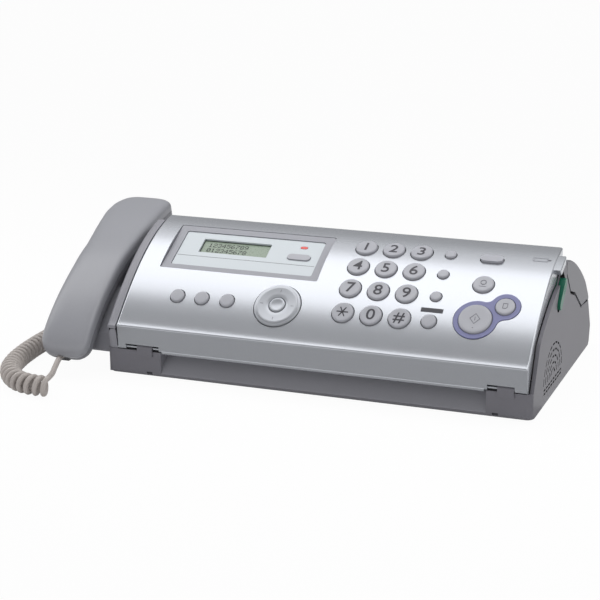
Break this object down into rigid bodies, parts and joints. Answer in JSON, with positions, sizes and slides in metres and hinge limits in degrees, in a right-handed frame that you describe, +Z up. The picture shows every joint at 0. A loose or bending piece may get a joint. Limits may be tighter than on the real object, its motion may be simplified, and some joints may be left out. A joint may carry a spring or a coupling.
{
  "type": "fax machine",
  "caption": "Desktop plain-paper fax machine with a sloping silver control panel, LCD, dial keys and a corded handset in a side cradle.",
  "frame": {"origin": "on the table, under the middle of the machine with its handset and cradle, without the curly cord", "axes": "+X to the machine's right side (the handset is at -X), +Y to its rear, +Z up"},
  "size_m": [0.3757, 0.2457, 0.0973],
  "materials": {
    "accent_violet": "satin violet-grey print",
    "circuit_board": "green solder mask on glass-fibre board",
    "cord_pvc": "grey-beige PVC sheath",
    "display_frame": "satin painted plastic",
    "display_window": "back-printed clear acrylic",
    "film_black": "black ink film",
    "film_core_blue": "moulded blue plastic",
    "gear_acetal": "ivory acetal",
    "grey_abs": "fine-grained moulded ABS",
    "handset_abs": "satin moulded ABS",
    "handset_abs_dark": "satin moulded ABS",
    "key_rubber": "lacquered moulded plastic",
    "lamp_red": "clear red acrylic",
    "lcd": "reflective liquid-crystal glass",
    "lever_green": "moulded green plastic",
    "mid_grey_abs": "fine-grained moulded ABS",
    "plug": "clear polycarbonate",
    "rubber": "black rubber",
    "silver_paint": "metallic silver paint on moulded ABS",
    "silver_ring": "satin silver paint on moulded ABS",
    "steel": "plain steel"
  },
  "bodies": {
    "root": {"base_case": "grey_abs", "foot_front_left": "rubber", "foot_front_right": "rubber", "foot_rear_left": "rubber", "foot_rear_right": "rubber", "handset_cradle": "grey_abs", "main_board": "circuit_board", "speaker": "steel", "thermal_head": "steel", "drive_motor": "steel", "base_plug": "plug", "handset_cord": "cord_pvc"},
    "front_cover": {"front_cover": "silver_paint", "control_board": "circuit_board", "display_frame": "display_frame", "display_window": "display_window", "lcd_module": "lcd", "answer_lamp": "lamp_red", "accent_plate": "accent_violet"},
    "back_cover": {"back_cover": "mid_grey_abs"},
    "document_guide_left": {"document_guide_left": "mid_grey_abs"},
    "document_guide_right": {"document_guide_right": "mid_grey_abs"},
    "guide_pinion": {"guide_pinion": "gear_acetal"},
    "platen_roller": {"platen_roller": "rubber"},
    "drive_gear": {"drive_gear": "gear_acetal"},
    "film_takeup_roll": {"film_takeup_roll": "film_core_blue"},
    "film_supply_roll": {"film_supply_roll": "film_black"},
    "feed_roller": {"feed_roller": "rubber"},
    "release_lever": {"release_lever": "lever_green"},
    "handset": {"handset_shell_upper": "handset_abs", "handset_shell_lower": "handset_abs_dark", "handset_plug": "plug"},
    "hook_switch": {"hook_switch": "grey_abs"},
    "key_1": {"key_1": "key_rubber"},
    "key_2": {"key_2": "key_rubber"},
    "key_3": {"key_3": "key_rubber"},
    "key_4": {"key_4": "key_rubber"},
    "key_5": {"key_5": "key_rubber"},
    "key_6": {"key_6": "key_rubber"},
    "key_7": {"key_7": "key_rubber"},
    "key_8": {"key_8": "key_rubber"},
    "key_9": {"key_9": "key_rubber"},
    "key_0": {"key_0": "key_rubber"},
    "key_star": {"key_star": "key_rubber"},
    "key_hash": {"key_hash": "key_rubber"},
    "menu_button_left": {"menu_button_left": "key_rubber"},
    "menu_button_middle": {"menu_button_middle": "key_rubber"},
    "menu_button_right": {"menu_button_right": "key_rubber"},
    "redial_button": {"redial_button": "key_rubber"},
    "recall_button": {"recall_button": "key_rubber"},
    "mute_button": {"mute_button": "key_rubber"},
    "monitor_button": {"monitor_button": "key_rubber"},
    "caller_button": {"caller_button": "key_rubber"},
    "navigator_ring": {"navigator_ring": "silver_ring"},
    "set_button": {"set_button": "key_rubber"},
    "stop_button": {"stop_button": "key_rubber"},
    "start_button": {"start_button": "key_rubber"},
    "copy_button": {"copy_button": "key_rubber"},
    "auto_answer_button": {"auto_answer_button": "key_rubber"}
  },
  "joints": [
    {"name": "front_cover_hinge", "type": "hinge", "parent": "root", "child": "front_cover", "pos_m": [0.02515, -0.08227, 0.022], "axis": [1, 0, 0], "range_deg": [0, 60]},
    {"name": "back_cover_hinge", "type": "hinge", "parent": "root", "child": "back_cover", "pos_m": [0.02515, 0.08563, 0.0392], "axis": [-1, 0, 0], "range_deg": [0, 65]},
    {"name": "key_1_slide", "type": "slide", "parent": "front_cover", "child": "key_1", "axis": [0, 0.3712, -0.9286], "range_m": [0, 0.0012], "stiffness_N_per_m": 600},
    {"name": "key_2_slide", "type": "slide", "parent": "front_cover", "child": "key_2", "axis": [0, 0.3712, -0.9286], "range_m": [0, 0.0012], "stiffness_N_per_m": 600},
    {"name": "key_3_slide", "type": "slide", "parent": "front_cover", "child": "key_3", "axis": [0, 0.3712, -0.9286], "range_m": [0, 0.0012], "stiffness_N_per_m": 600},
    {"name": "key_4_slide", "type": "slide", "parent": "front_cover", "child": "key_4", "axis": [0, 0.5075, -0.8616], "range_m": [0, 0.0012], "stiffness_N_per_m": 600},
    {"name": "key_5_slide", "type": "slide", "parent": "front_cover", "child": "key_5", "axis": [0, 0.5075, -0.8616], "range_m": [0, 0.0012], "stiffness_N_per_m": 600},
    {"name": "key_6_slide", "type": "slide", "parent": "front_cover", "child": "key_6", "axis": [0, 0.5075, -0.8616], "range_m": [0, 0.0012], "stiffness_N_per_m": 600},
    {"name": "key_7_slide", "type": "slide", "parent": "front_cover", "child": "key_7", "axis": [0, 0.6026, -0.7981], "range_m": [0, 0.0012], "stiffness_N_per_m": 600},
    {"name": "key_8_slide", "type": "slide", "parent": "front_cover", "child": "key_8", "axis": [0, 0.6026, -0.7981], "range_m": [0, 0.0012], "stiffness_N_per_m": 600},
    {"name": "key_9_slide", "type": "slide", "parent": "front_cover", "child": "key_9", "axis": [0, 0.6026, -0.7981], "range_m": [0, 0.0012], "stiffness_N_per_m": 600},
    {"name": "key_0_slide", "type": "slide", "parent": "front_cover", "child": "key_0", "axis": [0, 0.6709, -0.7415], "range_m": [0, 0.0012], "stiffness_N_per_m": 600},
    {"name": "key_star_slide", "type": "slide", "parent": "front_cover", "child": "key_star", "axis": [0, 0.6709, -0.7415], "range_m": [0, 0.0012], "stiffness_N_per_m": 600},
    {"name": "key_hash_slide", "type": "slide", "parent": "front_cover", "child": "key_hash", "axis": [0, 0.6709, -0.7415], "range_m": [0, 0.0012], "stiffness_N_per_m": 600},
    {"name": "menu_button_left_slide", "type": "slide", "parent": "front_cover", "child": "menu_button_left", "axis": [0, 0.6709, -0.7415], "range_m": [0, 0.0012], "stiffness_N_per_m": 600},
    {"name": "menu_button_middle_slide", "type": "slide", "parent": "front_cover", "child": "menu_button_middle", "axis": [0, 0.6709, -0.7415], "range_m": [0, 0.0012], "stiffness_N_per_m": 600},
    {"name": "menu_button_right_slide", "type": "slide", "parent": "front_cover", "child": "menu_button_right", "axis": [0, 0.6709, -0.7415], "range_m": [0, 0.0012], "stiffness_N_per_m": 600},
    {"name": "redial_button_slide", "type": "slide", "parent": "front_cover", "child": "redial_button", "axis": [0, 0.3712, -0.9286], "range_m": [0, 0.0012], "stiffness_N_per_m": 600},
    {"name": "recall_button_slide", "type": "slide", "parent": "front_cover", "child": "recall_button", "axis": [0, 0.5075, -0.8616], "range_m": [0, 0.0012], "stiffness_N_per_m": 600},
    {"name": "mute_button_slide", "type": "slide", "parent": "front_cover", "child": "mute_button", "axis": [0, 0.6026, -0.7981], "range_m": [0, 0.0012], "stiffness_N_per_m": 600},
    {"name": "monitor_button_slide", "type": "slide", "parent": "front_cover", "child": "monitor_button", "axis": [0, 0.6709, -0.7415], "range_m": [0, 0.0012], "stiffness_N_per_m": 600},
    {"name": "caller_button_slide", "type": "slide", "parent": "front_cover", "child": "caller_button", "axis": [0, 0.3712, -0.9286], "range_m": [0, 0.0012], "stiffness_N_per_m": 600},
    {"name": "navigator_ring_slide", "type": "slide", "parent": "front_cover", "child": "navigator_ring", "axis": [0, 0.6709, -0.7415], "range_m": [0, 0.0012], "stiffness_N_per_m": 600},
    {"name": "set_button_slide", "type": "slide", "parent": "front_cover", "child": "set_button", "axis": [0, 0.6709, -0.7415], "range_m": [0, 0.0012], "stiffness_N_per_m": 600},
    {"name": "stop_button_slide", "type": "slide", "parent": "front_cover", "child": "stop_button", "axis": [0, 0.5318, -0.8468], "range_m": [0, 0.0012], "stiffness_N_per_m": 600},
    {"name": "start_button_slide", "type": "slide", "parent": "front_cover", "child": "start_button", "axis": [0, 0.654, -0.7565], "range_m": [0, 0.0012], "stiffness_N_per_m": 600},
    {"name": "copy_button_slide", "type": "slide", "parent": "front_cover", "child": "copy_button", "axis": [0, 0.611, -0.7916], "range_m": [0, 0.0012], "stiffness_N_per_m": 600},
    {"name": "auto_answer_button_slide", "type": "slide", "parent": "front_cover", "child": "auto_answer_button", "axis": [0, 0.4672, -0.8842], "range_m": [0, 0.0012], "stiffness_N_per_m": 600},
    {"name": "document_guide_left_slide", "type": "slide", "parent": "back_cover", "child": "document_guide_left", "axis": [1, 0, 0], "range_m": [0, 0.04]},
    {"name": "document_guide_right_slide", "type": "slide", "parent": "back_cover", "child": "document_guide_right", "axis": [-1, 0, 0], "range_m": [0, 0.04]},
    {"name": "guide_pinion_turn", "type": "hinge", "parent": "back_cover", "child": "guide_pinion", "pos_m": [0.02515, 0.02563, 0.07689], "axis": [0, 0.3413, 0.94], "range_deg": [-383, 383]},
    {"name": "platen_roller_turn", "type": "hinge", "parent": "root", "child": "platen_roller", "pos_m": [0.02515, 0.02903, 0.043], "axis": [1, 0, 0], "continuous": true},
    {"name": "drive_gear_turn", "type": "hinge", "parent": "root", "child": "drive_gear", "pos_m": [-0.099, 0.01429, 0.03268], "axis": [1, 0, 0], "continuous": true},
    {"name": "film_takeup_roll_turn", "type": "hinge", "parent": "root", "child": "film_takeup_roll", "pos_m": [0.02515, 0.00118, 0.0235], "axis": [1, 0, 0], "continuous": true},
    {"name": "film_supply_roll_turn", "type": "hinge", "parent": "root", "child": "film_supply_roll", "pos_m": [0.02515, 0.06203, 0.021], "axis": [1, 0, 0], "continuous": true},
    {"name": "feed_roller_turn", "type": "hinge", "parent": "root", "child": "feed_roller", "pos_m": [0.02515, -0.00897, 0.059], "axis": [1, 0, 0], "continuous": true},
    {"name": "release_lever_turn", "type": "hinge", "parent": "root", "child": "release_lever", "pos_m": [0.17045, -0.01397, 0.0606], "axis": [1, 0, 0], "range_deg": [-8, 8], "stiffness_Nm_per_rad": 0.05},
    {"name": "handset_lift", "type": "slide", "parent": "root", "child": "handset", "axis": [0, -0.4695, 0.8829], "range_m": [0, 0.1]},
    {"name": "hook_switch_slide", "type": "slide", "parent": "root", "child": "hook_switch", "axis": [0, -0.3356, 0.942], "range_m": [0, 0.004]}
  ],
  "couplings": [
    {"joint": "document_guide_right_slide", "follows": "document_guide_left_slide", "ratio": 1},
    {"joint": "guide_pinion_turn", "follows": "document_guide_left_slide", "rad_per_m": 166.67},
    {"joint": "drive_gear_turn", "follows": "platen_roller_turn", "ratio": -1.5714},
    {"joint": "film_takeup_roll_turn", "follows": "platen_roller_turn", "ratio": 1.2222},
    {"joint": "film_supply_roll_turn", "follows": "platen_roller_turn", "ratio": 0.76955},
    {"joint": "feed_roller_turn", "follows": "platen_roller_turn", "ratio": 1.0667},
    {"joint": "hook_switch_slide", "follows": "handset_lift", "ratio": 0.04}
  ]
}
